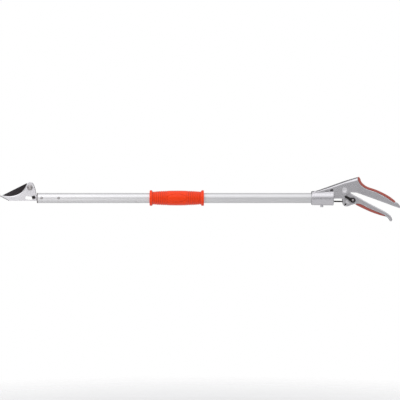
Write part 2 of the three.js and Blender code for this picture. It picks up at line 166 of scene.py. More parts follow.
MATERIALS = {
    "tube_alloy": finish_material(
        "drawn_tube", (0.68, 0.68, 0.685), (0.665, 0.665, 0.67), (0.70, 0.70, 0.70), 0.6, (0.40, 0.47),
        900.0, cloud=9.0, stretch=(0.012, 1, 1), bump=(0.00001, 0.25)),
    "cast_alloy": finish_material(
        "cast_alloy", (0.61, 0.60, 0.62), (0.575, 0.565, 0.585), (0.65, 0.64, 0.66), 0.8, (0.22, 0.30),
        1500.0, cloud=35.0, bump=(0.00005, 0.5), edge_wear_and_groove_shade=((0.52, 0.58), (0.72, 0.72, 0.73))),
    "plate_steel": finish_material(
        "satin_plate", (0.76, 0.75, 0.77), (0.71, 0.70, 0.72), (0.81, 0.80, 0.81), 0.6, (0.36, 0.48),
        1100.0, cloud=60.0, stretch=(0.06, 1, 1), bump=(0.00002, 0.4)),
    "blade_coating": finish_material(
        "blade_coating", (0.0075, 0.0042, 0.0052), (0.005, 0.003, 0.0036), (0.018, 0.012, 0.014), 0.0,
        (0.36, 0.52), 1300.0, cloud=90.0, bump=(0.00003, 0.5), edge_wear_and_groove_shade=((0.54, 0.62), (0.10, 0.09, 0.10)),
        sockets={"Specular IOR Level": 0.16}),
    "blackened_steel": finish_material(
        "black_oxide", (0.010, 0.008, 0.0085), (0.007, 0.0055, 0.006), (0.024, 0.020, 0.021), 0.0,
        (0.34, 0.50), 1600.0, cloud=120.0, bump=(0.00003, 0.45), edge_wear_and_groove_shade=((0.53, 0.60), (0.12, 0.11, 0.11)),
        sockets={"Specular IOR Level": 0.25}),
    "fastener_steel": finish_material(
        "fastener_steel", (0.37, 0.35, 0.35), (0.29, 0.275, 0.275), (0.47, 0.45, 0.44), 1.0, (0.30, 0.46),
        1400.0, cloud=150.0, bump=(0.00003, 0.45), edge_wear_and_groove_shade=((0.53, 0.60), (0.62, 0.60, 0.59))),
    "spring_steel": finish_material(
        "spring_wire", (0.40, 0.40, 0.42), (0.33, 0.33, 0.34), (0.48, 0.48, 0.50), 1.0, (0.28, 0.40),
        1800.0, cloud=200.0, bump=(0.00002, 0.4)),
    # The grip's rib grooves get a darker red: painted shade in the grooves.
    "grip_rubber": finish_material(
        "grip_rubber", (0.93, 0.050, 0.002), (0.89, 0.042, 0.001), (0.97, 0.062, 0.004), 0.0, (0.30, 0.40),
        1900.0, cloud=28.0, bump=(0.00003, 0.4), edge_wear_and_groove_shade=((0.497, 0.465), (0.50, 0.022, 0.001)),
        sockets={"Specular IOR Level": 0.2, "Sheen Weight": 0.55, "Sheen Roughness": 0.4}),
    "insert_rubber": finish_material(
        "insert_rubber", (0.43, 0.108, 0.086), (0.38, 0.089, 0.070), (0.50, 0.136, 0.110), 0.0, (0.45, 0.60),
        1900.0, cloud=60.0, bump=(0.00004, 0.45), sockets={"Specular IOR Level": 0.3}),
    # On the mouth ring this dark grey is painted shade: a real plastic ring, coloured to stand for the
    # shadowed gap at the tube's mouth.
    "ring_plastic": finish_material(
        "ring_plastic", (0.13, 0.105, 0.10), (0.10, 0.083, 0.08), (0.19, 0.16, 0.15), 0.0, (0.40, 0.55),
        1500.0, cloud=90.0, bump=(0.00003, 0.4)),
    "nylon": finish_material(
        "natural_nylon", (0.72, 0.70, 0.65), (0.66, 0.64, 0.58), (0.78, 0.76, 0.71), 0.0, (0.40, 0.55),
        1200.0, cloud=70.0, bump=(0.00003, 0.4)),
}
GROUND_STEEL = finish_material(
    "ground_edge", (0.47, 0.465, 0.475), (0.43, 0.425, 0.435), (0.53, 0.525, 0.535), 1.0, (0.24, 0.34),
    1500.0, cloud=80.0, stretch=(1, 1, 0.08), bump=(0.00002, 0.4))
# Painted shade: a near-black steel on the hook plate's lower tip edge and crown back, standing for those
# edges in shadow.
PAINTED_EDGE_SHADE_STEEL = finish_material(
    "painted_edge_shade", (0.075, 0.070, 0.074), (0.055, 0.052, 0.055), (0.12, 0.115, 0.12), 0.7, (0.35, 0.5),
    1500.0, cloud=90.0)
# Painted shade: a dark grey finish for the faces inside the cheek's recesses and the lever's nose slot,
# standing for the shade there.
PAINTED_SHADE_FILL = finish_material(
    "painted_recess_shade", (0.075, 0.072, 0.075), (0.055, 0.053, 0.055), (0.105, 0.10, 0.105), 0.3, (0.5, 0.65),
    1500.0, cloud=90.0)


# ---- Mesh tools ---------------------------------------------------------------------------------


def place(x, y, z):
    """A point in millimetres from the pole's axis, as a place in the CAD frame."""
    return (Vector((x, y, z)) + FROM_AXIS) * MM


def linked(name, data):
    """A new object in the scene."""
    thing = bpy.data.objects.new(name, data)
    bpy.context.scene.collection.objects.link(thing)
    return thing


def show(node, mesh, extra=(), angle=38.0):
    """Makes a piece from a finished mesh. It stands for its CAD node and takes the node's body and slot.

    Its first material is the slot's. Extra ones are for faces with a higher material number.
    """
    for polygon in mesh.polygons:
        polygon.use_smooth = True
    mesh.set_sharp_from_angle(angle=math.radians(angle))
    parts = [polygon.material_index for polygon in mesh.polygons]
    mesh.materials.clear()
    for finish in (MATERIALS[SLOT_OF[node]], *extra):
        mesh.materials.append(finish)
    for polygon, part in zip(mesh.polygons, parts):
        polygon.material_index = min(part, len(extra))
    piece = linked(node + "_visual", mesh)
    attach(piece, BODY_OF[node])
    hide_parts(node)


def to_mesh(bm):
    bmesh.ops.recalc_face_normals(bm, faces=bm.faces)
    mesh = bpy.data.meshes.new("piece")
    bm.to_mesh(mesh)
    bm.free()
    return mesh


def bend(points, steps):
    """A smooth curve through a few points, as in the CAD part."""
    curve = []
    last = len(points) - 1
    for i in range(steps + 1):
        t = last * i / steps
        k = min(int(t), last - 1)
        w = t - k
        p0, p1, p2, p3 = (Vector(points[j]) for j in (max(k - 1, 0), k, k + 1, min(k + 2, last)))
        v1 = (p2 - p0) / 2
        v2 = (p3 - p1) / 2
        cubic = 2 * p1 - 2 * p2 + v1 + v2
        square = -3 * p1 + 3 * p2 - 2 * v1 - v2
        curve.append(cubic * w**3 + square * w**2 + v1 * w + p1)
    return curve


def resample(points, count):
    """The same line with count points at even distances."""
    points = [Vector(p) for p in points]
    lengths = [0.0]
    for a, b in zip(points, points[1:]):
        lengths.append(lengths[-1] + (b - a).length)
    line = []
    k = 0
    for i in range(count):
        want = lengths[-1] * i / (count - 1)
        while k < len(points) - 2 and lengths[k + 1] < want:
            k += 1
        span = max(lengths[k + 1] - lengths[k], 1e-9)
        line.append(points[k].lerp(points[k + 1], min(max((want - lengths[k]) / span, 0.0), 1.0)))
    return line


def filleted(profile, radius, steps=4):
    """A profile of (radius, along) pairs with its inner corners rounded."""
    points = [Vector(p) for p in profile]
    rounded = [points[0]]
    for before, corner, after in zip(points, points[1:], points[2:]):
        back = before - corner
        ahead = after - corner
        reach = min(radius, back.length * 0.45, ahead.length * 0.45)
        start = corner + back.normalized() * reach
        end = corner + ahead.normalized() * reach
        for i in range(steps + 1):
            t = i / steps
            rounded.append(start.lerp(corner, t).lerp(corner.lerp(end, t), t))
    rounded.append(points[-1])
    return [tuple(p) for p in rounded]


def turned_point(radius, along, angle, axis):
    across = (radius * math.cos(angle), radius * math.sin(angle))
    return Vector((along, *across)) if axis == "X" else Vector((across[0], along, across[1]))


def joined_rings(bm, rings, steps):
    """Faces between each ring and the next. A ring of one point closes a turned piece's end."""
    for low, high in zip(rings, rings[1:]):
        for i in range(steps):
            j = (i + 1) % steps
            corners = [low[i % len(low)], low[j % len(low)], high[j % len(high)], high[i % len(high)]]
            unique = list(dict.fromkeys(corners))
            if len(unique) > 2:
                bm.faces.new(unique)


def turned(profile, axis, centre, steps=96, turn=None):
    """A turned piece. Profile points are (radius, along); centre is where along is 0, in millimetres.

    A profile that ends where it began makes a ring.
    """
    bm = bmesh.new()
    closed = profile[0][0] > TINY and (Vector(profile[0]) - Vector(profile[-1])).length < TINY
    rings = []
    for radius, along in profile[:-1] if closed else profile:
        angles = [2 * math.pi * i / steps for i in range(steps)] if radius > TINY else [0.0]
        rings.append([bm.verts.new(turned_point(radius, along, angle, axis)) for angle in angles])
    joined_rings(bm, rings + rings[:1] if closed else rings, steps)
    if turn:
        bmesh.ops.rotate(bm, verts=bm.verts, matrix=turn.to_matrix())
    bmesh.ops.translate(bm, verts=bm.verts, vec=Vector(centre) + FROM_AXIS)
    bmesh.ops.scale(bm, verts=bm.verts, vec=(MM, MM, MM))
    return to_mesh(bm)


def welded(mesh, reach):
    """A mesh with its split vertices joined and its flat faces whole."""
    bm = bmesh.new()
    bm.from_mesh(mesh)
    bmesh.ops.remove_doubles(bm, verts=bm.verts, dist=reach)
    bmesh.ops.dissolve_limit(bm, angle_limit=math.radians(1.0), verts=bm.verts, edges=bm.edges)
    return bm


def bevel_sharp(bm, width, segments, angle):
    sharp = [e for e in bm.edges if len(e.link_faces) == 2 and e.calc_face_angle(0.0) > math.radians(angle)]
    bmesh.ops.bevel(bm, geom=sharp, offset=width * MM, segments=segments, profile=0.6, affect="EDGES",
                    clamp_overlap=True)


def crisp(node, width, segments=2):
    """A copy of a CAD node's mesh with its sharp edges broken."""
    bm = welded(NODES[node].data, TINY)
    bevel_sharp(bm, width, segments, 32.0)
    bmesh.ops.remove_doubles(bm, verts=bm.verts, dist=TINY / 10)
    return to_mesh(bm)


def broken_edges(mesh, width, angle=30.0):
    """The mesh with its sharp edges broken."""
    bm = welded(mesh, TINY / 10)
    bevel_sharp(bm, width, 2, angle)
    return to_mesh(bm)


def swept(sections):
    """A closed solid through a row of loops with as many points each, in millimetres from the pole's axis."""
    bm = bmesh.new()
    rings = [[bm.verts.new(place(*p)) for p in section] for section in sections]
    joined_rings(bm, rings, len(rings[0]))
    bm.faces.new(rings[0][::-1])
    bm.faces.new(rings[-1])
    return to_mesh(bm)


def evaluated(mesh, modifiers):
    """The mesh after a list of (kind, settings) modifiers."""
    worker = linked("worker", mesh)
    for kind, settings in modifiers:
        modifier = worker.modifiers.new(kind.lower(), kind)
        for key, value in settings.items():
            setattr(modifier, key, value)
    bpy.context.view_layer.update()
    graph = bpy.context.evaluated_depsgraph_get()
    result = bpy.data.meshes.new_from_object(worker.evaluated_get(graph), depsgraph=graph)
    bpy.data.objects.remove(worker)
    return result


def combined(mesh, tools, operation="DIFFERENCE"):
    """The mesh after cutting, joining or overlapping it with tool meshes."""
    for tool in tools:
        cutter = linked("cutter", tool)
        settings = {"operation": operation, "solver": "EXACT", "object": cutter}
        mesh = evaluated(mesh, [("BOOLEAN", settings)])
        bpy.data.objects.remove(cutter)
    return mesh


def cast(node, cutters=(), rounds=7):
    """A CAD node's shape as a casting, with every edge rounded."""
    mesh = combined(to_mesh(welded(NODES[node].data, TINY)), cutters)
    return evaluated(mesh, [
        ("REMESH", {"mode": "VOXEL", "voxel_size": CAST_VOXEL * MM}),
        ("SMOOTH", {"factor": 0.5, "iterations": rounds}),
    ])


def hex_nut(centre, axis, across, bore, span, turn=None):
    """A hexagon nut with its corners turned off at both ends."""
    corner = across / math.sqrt(3)
    low, high = span
    chamfer = corner - across / 2
    barrel = [(0, low), (across / 2, low), (corner, low + chamfer * 0.58), (corner, high - chamfer * 0.58),
              (across / 2, high), (0, high)]
    blank = [(0, low - 1), (corner, low - 1), (corner, high + 1), (0, high + 1)]
    body = turned(blank, axis, centre, 6, turn)
    body = combined(body, [turned(barrel, axis, centre, 96, turn)], "INTERSECT")
    hole = turned([(0, low - 2), (bore, low - 2), (bore, high + 2), (0, high + 2)], axis, centre, 48, turn)
    return broken_edges(combined(body, [hole]), 0.12)


# ---- Cutting head -------------------------------------------------------------------------------

HOOK_EDGE = ((-490, 5.5), (-478, 4.4), (-465, 5.9), (-450.4, 11.4), (-440.5, 20.8), (-431.8, 36.6))
HOOK_CROWN = ((-431.8, 36.6), (-425.4, 40.1), (-417, 36.2), (-411.6, 23), (-409, 9.6))
BLADE_EDGE = ((-435.6, 22.4), (-441, 16), (-450, 8.3), (-462, 3.2), (-476, 2.4), (-493.9, 6.9))
# The window's radii about the blade's pivot, its ends in degrees and how far its corners reach.
WINDOW_R = (22.6, 30.8)
WINDOW_ENDS = (-115.5, -60.3)
WINDOW_CORNER = 2.6
PLATE_Y = (-3.3, -0.3)
PLATE_REAR_X = -408.8
PLATE_LOW_Z = -6.9
BLADE_Y = (0.0, 2.5)
BLADE_HUB_R = 11.3
BLADE_TAIL_R = 4.1
BOLT_HOLE_R = 4.3
# An edge's slope is its width on the face, its depth and its material's number.
EDGE_BREAK = 0.22
PLAIN_EDGE = (EDGE_BREAK, EDGE_BREAK, 0)
# The next two slopes take material 2, painted shade on the edge.
SHADE_PAINTED_EDGE = (1.4, 1.1, 2)
CROWN_EDGE = (0.8, 0.8, 2)
CROWN_BACK_X = -419.0


def inward_offsets(loop):
    """The miter direction into the material at each point of a counterclockwise loop, as X and Z."""
    offsets = []
    count = len(loop)
    for i, point in enumerate(loop):
        before = (point - loop[i - 1]).normalized()
        after = (loop[(i + 1) % count] - point).normalized()
        first = Vector((-before.y, before.x))
        second = Vector((-after.y, after.x))
        miter = (first + second).normalized()
        offsets.append(miter / max(miter.dot(first), 0.45))
    return offsets


def plate(outline, holes, near, far, grinds):
    """A flat plate with broken edges. Near is the face with the slopes, which grinds gives point by point."""
    bm = bmesh.new()
    side = math.copysign(1.0, far - near)
    cap_edges = {near: [], far: []}
    for loop, cuts in [(outline, grinds)] + [(hole, [PLAIN_EDGE] * len(hole)) for hole in holes]:
        loop = [Vector(p) for p in loop]
        into = inward_offsets(loop)
        rows = [
            [(p + n * w, near) for p, n, (w, _, _) in zip(loop, into, cuts)],
            [(p, near + side * d) for p, (_, d, _) in zip(loop, cuts)],
            [(p, far - side * EDGE_BREAK) for p in loop],
            [(p + n * EDGE_BREAK, far) for p, n in zip(loop, into)],
        ]
        rings = [[bm.verts.new(place(p.x, y, p.y)) for p, y in row] for row in rows]
        for low, high in zip(rings, rings[1:]):
            for i in range(len(loop)):
                j = (i + 1) % len(loop)
                face = bm.faces.new((low[i], low[j], high[j], high[i]))
                wide = min(cuts[i][0], cuts[j][0]) > 2 * EDGE_BREAK
                face.material_index = min(cuts[i][2], cuts[j][2]) if low is rings[0] and wide else 0
        for ring, y in ((rings[0], near), (rings[-1], far)):
            cap_edges[y] += [bm.edges.get((ring[i], ring[(i + 1) % len(ring)])) for i in range(len(ring))]
    for edges in cap_edges.values():
        bmesh.ops.triangle_fill(bm, edges=edges, use_beauty=True)
    return to_mesh(bm)


def ground_cuts(count, start, stop, width, depth, ramp):
    """Slopes along an outline, from point start to point stop, easing in and out over ramp points."""
    cuts = []
    for i in range(count):
        share = smoothstep(0, ramp, i - start) * smoothstep(0, ramp, stop - i)
        cuts.append((EDGE_BREAK + (width - EDGE_BREAK) * share, EDGE_BREAK + (depth - EDGE_BREAK) * share, 1))
    return cuts


def smoothstep(low, high, value):
    """0 up to low, 1 from high on, and an even ease between."""
    t = min(max((value - low) / (high - low), 0.0), 1.0)
    return t * t * (3 - 2 * t)


def polar(centre, radius, degrees):
    angle = math.radians(degrees)
    return (centre[0] + radius * math.cos(angle), centre[1] + radius * math.sin(angle))


def arc(centre, radius, start, stop, steps):
    return [polar(centre, radius, start + (stop - start) * i / steps) for i in range(steps + 1)]


def circle(centre, radius, steps=64):
    return arc(centre, radius, 0, -360, steps)[:-1]


def window_outline():
    inner, outer = WINDOW_R
    left, right = WINDOW_ENDS
    top = arc(BLADE_PIVOT, inner, right - WINDOW_CORNER, left + WINDOW_CORNER, 24)
    foot = arc(BLADE_PIVOT, outer, left + WINDOW_CORNER, right - WINDOW_CORNER, 24)
    right_end = [polar(BLADE_PIVOT, outer - 2, right), polar(BLADE_PIVOT, inner + 2, right)]
    left_end = [polar(BLADE_PIVOT, inner + 2, left), polar(BLADE_PIVOT, outer - 2, left)]
    return foot + right_end + top + left_end


def hook_plate():
    """The counter blade: a hook with a ground edge, a crown round the pivot and a tongue inside the tube."""
    edge = [tuple(p) for p in bend(HOOK_EDGE, 80)]
    crown = [tuple(p) for p in bend(HOOK_CROWN, 60)][1:]
    outline = [(-501.4, 5.4), (-501.4, 7.8)] + edge + crown
    outline += [(PLATE_REAR_X, 8.4), (-376, 8.2), (-376, PLATE_LOW_Z), (-473.5, PLATE_LOW_Z)]
    cuts = ground_cuts(len(outline), 1, 1 + len(edge), 2.5, 1.3, 14)
    for i, (x, _) in enumerate(outline):
        if i > len(edge) and CROWN_BACK_X < x < PLATE_REAR_X:
            cuts[i] = CROWN_EDGE
    # The lower tip's edge along these points gets painted shade, and so does the crown back above.
    shade_painted_points = [(-477.5, PLATE_LOW_Z), (-484.5, -3.4), (-495, 1.9)]
    outline += shade_painted_points
    cuts += [SHADE_PAINTED_EDGE] * len(shade_painted_points)
    cuts[0] = SHADE_PAINTED_EDGE
    holes = [window_outline()[::-1], circle(BLADE_PIVOT, BOLT_HOLE_R)]
    mesh = plate(outline[::-1], holes, *PLATE_Y, cuts[::-1])
    show("hook_plate", mesh, extra=[GROUND_STEEL, PAINTED_EDGE_SHADE_STEEL], angle=14)


def cutting_blade():
    """A straight-backed blade behind the plate, with a tail that carries the link pin."""
    edge = [tuple(p) for p in bend(BLADE_EDGE, 80)]
    outline = [(-493.8, 6.9), (-434.6, 36.5)] + arc(BLADE_PIVOT, BLADE_HUB_R, 112, -40, 44)
    outline += arc(LINK, BLADE_TAIL_R, 20.7, -159.3, 30) + arc(BLADE_PIVOT, BLADE_HUB_R, -107, -150, 12)
    start = len(outline)
    outline += edge[:-1]
    cuts = ground_cuts(len(outline), start, len(outline) - 1, 4.2, 1.9, 10)
    cuts[-1] = cuts[0] = (0.6, 0.6, 1)
    holes = [circle(BLADE_PIVOT, BOLT_HOLE_R), circle(LINK, 2.1, 40)]
    mesh = plate(outline[::-1], holes, *BLADE_Y[::-1], cuts[::-1])
    show("cutting_blade", mesh, extra=[GROUND_STEEL], angle=14)


def turned_at(pivot, profile, radius, steps=96):
    """A piece turned about a pivot, with its corners rounded."""
    return turned(filleted(profile, radius), "Y", (pivot[0], 0, pivot[1]), steps)


def socketed(mesh, pivot, profile, width):
    """A bolt or screw with a hexagon socket cut into its head."""
    socket = turned(profile, "Y", (pivot[0], 0, pivot[1]), 6)
    return broken_edges(combined(mesh, [socket]), width, angle=35)


def blade_pivot():
    bolt = turned_at(BLADE_PIVOT, [
        (0, -7.0), (3.2, -7.1), (5.4, -6.7), (6.7, -5.6), (6.7, -3.3), (4.1, -3.3), (4.1, 9.4),
        (0, 9.4)], 0.5)
    bolt = socketed(bolt, BLADE_PIVOT, [(0, -9), (3.0, -9), (3.0, -5.2), (0, -4.6)], 0.12)
    show("blade_pivot_bolt", bolt)
    washer = turned_at(BLADE_PIVOT, [(4.2, 2.7), (8, 2.7), (8, 3.6), (4.2, 3.6), (4.2, 2.7)], 0.25)
    show("blade_pivot_washer", washer)
    nut = hex_nut((BLADE_PIVOT[0], 0, BLADE_PIVOT[1]), "Y", 13, 4.2, (3.7, 8.2))
    show("blade_pivot_nut", nut)


hook_plate()
cutting_blade()
blade_pivot()
link_pin = turned_at(LINK, [(0, -3.1), (2.6, -3.0), (2.6, -0.1), (2.0, -0.1), (2.0, 9.0), (0, 9.0)], 0.5, 64)
show("link_pin", link_pin)
show("link_clip", crisp("link_clip", 0.15))
show("head_plug", crisp("head_plug", 0.3))
# The mouth ring is a plastic ring. Its dark grey is painted shade for the shadowed gap between plug and tube.
mouth = [(11.2, -407.1), (12.7, -407.1), (12.7, -405.3), (11.2, -405.3), (11.2, -407.1)]
show("mouth_ring", turned(filleted(mouth, 0.45), "X", (0, 0, 0)))

RIVET_X = {"front": -394.8, "rear": -352.5}
# A blind rivet's head, with the hole that its broken stem leaves.
RIVET = ((0, 12.0), (1.1, 12.0), (1.1, 13.0), (1.5, 13.35), (2.2, 13.3), (3.0, 12.8), (3.4, 12.2),
         (3.3, 11.2), (0, 11.2))
for side_name, side in (("near", -1), ("far", 1)):
    for end, x in RIVET_X.items():
        node = "head_rivet_" + end + "_" + side_name
        head = turned([(r, side * y) for r, y in filleted(RIVET, 0.2)], "Y", (x, 0, 0), 48)
        show(node, head)

# ---- Pole and fore grip -------------------------------------------------------------------------

TUBE_X = (-405.0, 329.0)
TUBE_BORE = TUBE_R - TUBE_WALL
wall = [(TUBE_BORE, TUBE_X[0]), (TUBE_R, TUBE_X[0]), (TUBE_R, 0), (TUBE_R, TUBE_X[1]), (TUBE_BORE, TUBE_X[1]),
        (TUBE_BORE, TUBE_X[0])]
show("pole_tube", turned(filleted(wall, 0.35), "X", (0, 0, 0), 128))

GRIP_X = (-125.8, 9.8)
GRIP_BORE = 12.75
GRIP_END_R = 16.0
FLANGE_R = 19.5
FLANGE_T = 6.8
FLANGE_ROUND = 1.6
RIB_PITCH = 4.65
RIB_DEPTH = 1.0
RIB_ZONES = ((-117.0, -80.0), (-33.0, 1.5))
RIB_EASE = 1.5
# The oval panels' middle along the pole, half length and half height, and the radius they are measured at.
PANEL_X = -57.5
PANEL_HALF = (24.0, 10.5)
PANEL_R = 18.0
PANEL_GROOVE = 0.75
PANEL_SINK = 0.25
# The grip swells towards its middle: radius and X.
WAIST = bend(((GRIP_END_R, -119.0), (17.6, -98), (18.5, -58), (17.6, -18), (GRIP_END_R, 3.0)), 200)


def waist_radius(x):
    for a, b in zip(WAIST, WAIST[1:]):
        if a.y <= x <= b.y:
            return a.x + (b.x - a.x) * (x - a.y) / max(b.y - a.y, 1e-9)
    return GRIP_END_R


def grip_radius(x, angle):
    """The grip's radius at a place along the pole. The angle is from the side that faces -Y."""
    base = waist_radius(x)
    for low, high in RIB_ZONES:
        inside = smoothstep(low - RIB_EASE, low + RIB_EASE, x)
        inside *= 1 - smoothstep(high - RIB_EASE, high + RIB_EASE, x)
        wave = 0.5 - 0.5 * math.cos(2 * math.pi * (x - low) / RIB_PITCH)
        base -= RIB_DEPTH * inside * (1 - wave) ** 1.6
    for middle in (0.0, math.pi):
        turn = math.remainder(angle - middle, 2 * math.pi)
        reach = math.hypot((x - PANEL_X) / PANEL_HALF[0], turn * PANEL_R / PANEL_HALF[1])
        base -= PANEL_GROOVE * math.exp(-(((reach - 1.0) / 0.09) ** 2))
        base -= PANEL_SINK * (1 - smoothstep(0.8, 1.0, reach))
    for end, sign in ((GRIP_X[0], 1), (GRIP_X[1], -1)):
        inner = end + sign * FLANGE_T
        t = smoothstep(0.0, 2.4, sign * (inner + sign * 1.2 - x))
        base = base + (FLANGE_R - base) * t
        edge = max(FLANGE_ROUND - sign * (x - end), 0.0)
        base -= FLANGE_ROUND - math.sqrt(max(FLANGE_ROUND**2 - edge**2, 0.0))
    return base


def foregrip(stations=272, steps=144):
    """A flanged rubber sleeve with ribs at both ends and an oval panel on each side."""
    bm = bmesh.new()
    angles = [2 * math.pi * i / steps for i in range(steps)]

    def ring(x, radius):
        spots = [(radius(x, angle), angle) for angle in angles]
        return [bm.verts.new(place(x, -r * math.cos(angle), r * math.sin(angle))) for r, angle in spots]

    start, end = GRIP_X
    rings = [ring(start + (end - start) * i / stations, grip_radius) for i in range(stations + 1)]
    rings += [ring(x, lambda *_: GRIP_BORE) for x in (end, start)]
    joined_rings(bm, rings + rings[:1], steps)
    show("foregrip", to_mesh(bm))


foregrip()

# ---- Pull rod -----------------------------------------------------------------------------------

ROD_LINE = ROD_REAR - ROD_FRONT
ROD_TURN = Vector((1, 0, 0)).rotation_difference(ROD_LINE.normalized())
ROD_LENGTH = ROD_LINE.length
ROD_R = 1.8
THREAD_PITCH = 0.8
THREAD_DEPTH = 0.28
THREAD_START = ROD_LENGTH - 16
ROD_END = ROD_LENGTH + 12
NUT_FROM_TRUNNION = 7.2
NUT_HALF = 1.5


def pull_rod():
    """The rod with a threaded tail through the trunnion and its nuts."""
    profile = [(0, 8), (ROD_R - 0.3, 8), (ROD_R, 8.4), (ROD_R, THREAD_START)]
    for i in range(int((ROD_END - 0.6 - THREAD_START) / THREAD_PITCH)):
        along = THREAD_START + THREAD_PITCH * i
        profile.append((ROD_R - THREAD_DEPTH, along + THREAD_PITCH * 0.5))
        profile.append((ROD_R, along + THREAD_PITCH * 0.95))
    profile += [(ROD_R - 0.3, ROD_END), (0, ROD_END)]
    show("pull_rod", turned(profile, "X", ROD_FRONT, 40, ROD_TURN))


pull_rod()
show("rod_eye", crisp("rod_eye", 0.25))
for node, side in (("rod_nut_front", -1), ("rod_nut_rear", 1)):
    along = ROD_LENGTH + side * NUT_FROM_TRUNNION
    nut = hex_nut(ROD_FRONT, "X", 6.2, ROD_R + 0.1, (along - NUT_HALF, along + NUT_HALF), ROD_TURN)
    show(node, nut)

# ---- Squeeze handle -----------------------------------------------------------------------------

HANDLE_HALF = 12.5
HANDLE_TIP_HALF = 9.5
# The grip arm's thickness falls quickly between these two X, then slowly to its tip.
TAPER_X = (392, 425)
TIP_TAPER = 1.5 / 80
LEVER_STRIP_HALF = 8.6
PIN_FACE_Y = -HANDLE_HALF + 0.1
CLAMP_X = 304.4
# The rubber strips' lines as X and Z: the outer ones the hand touches, and the seams with the castings.
HANDLE_BACK = ((393.9, 52.4), (396.6, 52.8), (399.5, 48.5), (404, 38.9), (416.5, 28.9), (438, 21.4),
               (455, 13.9), (473, 3.9), (489, -8.4))
HANDLE_SEAM = ((393.5, 48.2), (397.35, 38.3), (403.85, 30.2), (415.5, 22.9), (440.6, 14.1), (463.1, 2.5),
               (485.0, -12.0))
LEVER_SEAM = ((390, -14.6), (400, -15.2), (415, -23), (432.5, -30.9), (450, -38.1), (461.5, -43.8))
LEVER_UNDER = ((388.5, -16), (400.5, -22.4), (421.8, -32.4), (434.5, -37.4), (449.3, -42.4), (461.4, -45.6))
# The casting's spine falls away from its middle like a low roof, then slopes down to the cheeks.
# Each row is X, the top's height, the roof's fall and the shoulder's height.
SPINE = ((290.0, 18.2, 2.6, 1.0), (325.0, 30.2, 3.5, 1.9), (360.0, 42.6, 3.3, 2.6), (395.5, 53.0, 2.4, 4.9))
SHOULDER_DEPTH = 0.62


def spine_cutter(side):
    """The space above the spine on one side, which runs 3 mm past the cheek and 9 mm up."""
    sections = []
    out = HANDLE_HALF + 3
    for x, top, fall, shoulder in SPINE:
        roof = [(0.0, top), (HANDLE_HALF - shoulder * SHOULDER_DEPTH, top - fall)]
        slope = [(HANDLE_HALF, top - fall - shoulder), (out, top - fall - shoulder - 3 / SHOULDER_DEPTH)]
        sections.append([(x, side * y, z) for y, z in [*roof, *slope, (out, top + 9), (0.0, top + 9)]])
    return swept(sections)


# The recesses in the near cheek and the slot in the lever's nose, as their lowest and highest corners. The
# faces inside them get painted shade.
RECESSES = (((323.2, -12.05, 15.0), (333.2, -9.9, 24.0)), ((310.2, -12.05, 15.0), (322.8, -9.9, 19.2)))
NOSE_WINDOW = (((359.6, -8.3, -19.2), (366.6, 5.5, -12.4)),)


def with_painted_shade(mesh, boxes):
    """The mesh with its faces inside some boxes set to the second material, which paints shade on them."""
    corners = [(place(*low), place(*high)) for low, high in boxes]
    for polygon in mesh.polygons:
        middle = polygon.center
        if any(all(low[i] < middle[i] < high[i] for i in range(3)) for low, high in corners):
            polygon.material_index = 1
    return mesh


def handle_body():
    mesh = cast("handle_body", [spine_cutter(-1), spine_cutter(1)], rounds=4)
    show("handle_body", with_painted_shade(mesh, RECESSES), extra=[PAINTED_SHADE_FILL], angle=60)


def arm_half(x):
    """Half the casting's thickness, which falls off towards the tip of the grip arm."""
    start, end = TAPER_X
    if x <= end:
        return HANDLE_HALF + (HANDLE_TIP_HALF - HANDLE_HALF) * max(x - start, 0) / (end - start)
    return HANDLE_TIP_HALF - TIP_TAPER * (x - end)


def strip_section(wide, height):
    """A strip's section, from one foot over the top to the other, as (share of the height, Y) pairs."""
    corner = min(2.6, height * 0.6)
    side = [(0.0, wide - 0.3), (0.15, wide)]
    side += [(k / 6 * (1 - corner / height), wide) for k in range(1, 6)]
    for k in range(9):
        turn = math.pi / 2 * k / 8
        side.append((1 - corner / height * (1 - math.sin(turn)), wide - corner * (1 - math.cos(turn))))
    side += [(1.0, (wide - corner) * (1 - k / 6)) for k in range(1, 6)]
    return side + [(1.0, 0.0)] + [(share, -y) for share, y in reversed(side)]


def end_ease(steps_from_end):
    """How much of its height a strip keeps near its ends, which are rounded over six stations."""
    ease = min(steps_from_end / 6.0, 1.0)
    return 1.0 - 0.35 * (1.0 - math.sqrt(max(0.0, 1.0 - (1.0 - ease) ** 2)))


def rubber_strip(inner, outer, half, groove, stations=180):
    """A soft strip along a seam, with rounded outer corners and moulded grooves."""
    inside = resample(bend(inner, 120), stations)
    outside = resample(bend(outer, 120), stations)
    sections = []
    travelled = 0.0
    for i, (seam, back) in enumerate(zip(inside, outside)):
        travelled += (back - outside[max(i - 1, 0)]).length
        height = (back - seam).length
        up = (back - seam).normalized()
        shrink = end_ease(min(i, stations - 1 - i))
        wide = half(seam.x)
        loop = []
        for share, y in strip_section(wide, height):
            depth = groove(travelled, share)
            spot = seam + up * max(height * share * shrink - depth * share, 0.0)
            loop.append((spot.x, y * (1 - depth / wide * (1 if share > 0.08 else 0.3)), spot.y))
        sections.append(loop)
    return swept(sections)


def back_grooves(travelled, share):
    """Fine cross grooves on the strip's back."""
    wave = 0.5 + 0.5 * math.cos(2 * math.pi * travelled / 3.2)
    return 0.16 * wave**3 * smoothstep(0.6, 0.9, share)


def diagonal_grooves(travelled, share):
    """Slanted grooves on the strip's flanks."""
    wave = 0.5 + 0.5 * math.cos(2 * math.pi * (travelled / 5.0 + share * 0.75))
    return 0.9 * wave**2 * smoothstep(0.0, 0.2, share) * (1 - 0.85 * smoothstep(0.75, 1.0, share))


